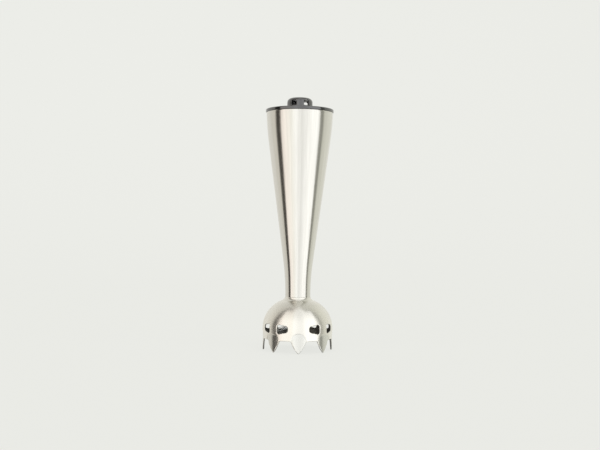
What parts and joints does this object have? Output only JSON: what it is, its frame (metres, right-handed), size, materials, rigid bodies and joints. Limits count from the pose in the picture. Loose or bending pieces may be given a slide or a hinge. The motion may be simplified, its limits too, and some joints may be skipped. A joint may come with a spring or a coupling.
{
  "type": "immersion blender shaft",
  "caption": "Detachable immersion blender shaft: flared steel tube, fluted bell with pointed prongs round a turning blade, and a drive coupling in a black end cap.",
  "frame": {"origin": "on the shaft's axis, in the plane of the prong tips that it stands on", "axes": "+Z along the axis, from the bell's prongs towards the motor end; X and Y run through the middle of the bell's wide lobes"},
  "size_m": [0.058, 0.058, 0.2087],
  "materials": {
    "brushed_tube": "fine circumferential brushing, bright",
    "bell_steel": "satin with polished leaf faces on the prongs",
    "turned_steel": "turned",
    "blade_steel": "ground",
    "spring_steel": "plain",
    "black_moulding": "glossy moulding",
    "grey_moulding": "matt moulding",
    "bronze": "sintered, oiled",
    "seal_rubber": "matt"
  },
  "bodies": {
    "housing": {"outer_tube": "brushed_tube", "bell": "bell_steel", "end_cap": "black_moulding", "end_cap_seal": "seal_rubber", "coupling_collar": "black_moulding", "bearing_carrier": "grey_moulding", "upper_bearing": "bronze", "lower_bearing_housing": "turned_steel", "lower_bearing": "bronze", "neck_seal": "seal_rubber", "shaft_seal": "seal_rubber", "seal_retainer": "turned_steel"},
    "rotor": {"drive_shaft": "turned_steel", "drive_coupling": "grey_moulding", "coupling_pin": "spring_steel", "upper_thrust_washer": "spring_steel", "upper_circlip": "spring_steel", "lower_thrust_washer": "spring_steel", "lower_circlip": "spring_steel", "blade_hub": "blade_steel", "blade": "blade_steel", "press_collar": "blade_steel"}
  },
  "joints": [
    {"name": "rotor_spin", "type": "hinge", "parent": "housing", "child": "rotor", "pos_m": [0, 0, 0.1], "axis": [0, 0, 1], "continuous": true}
  ]
}
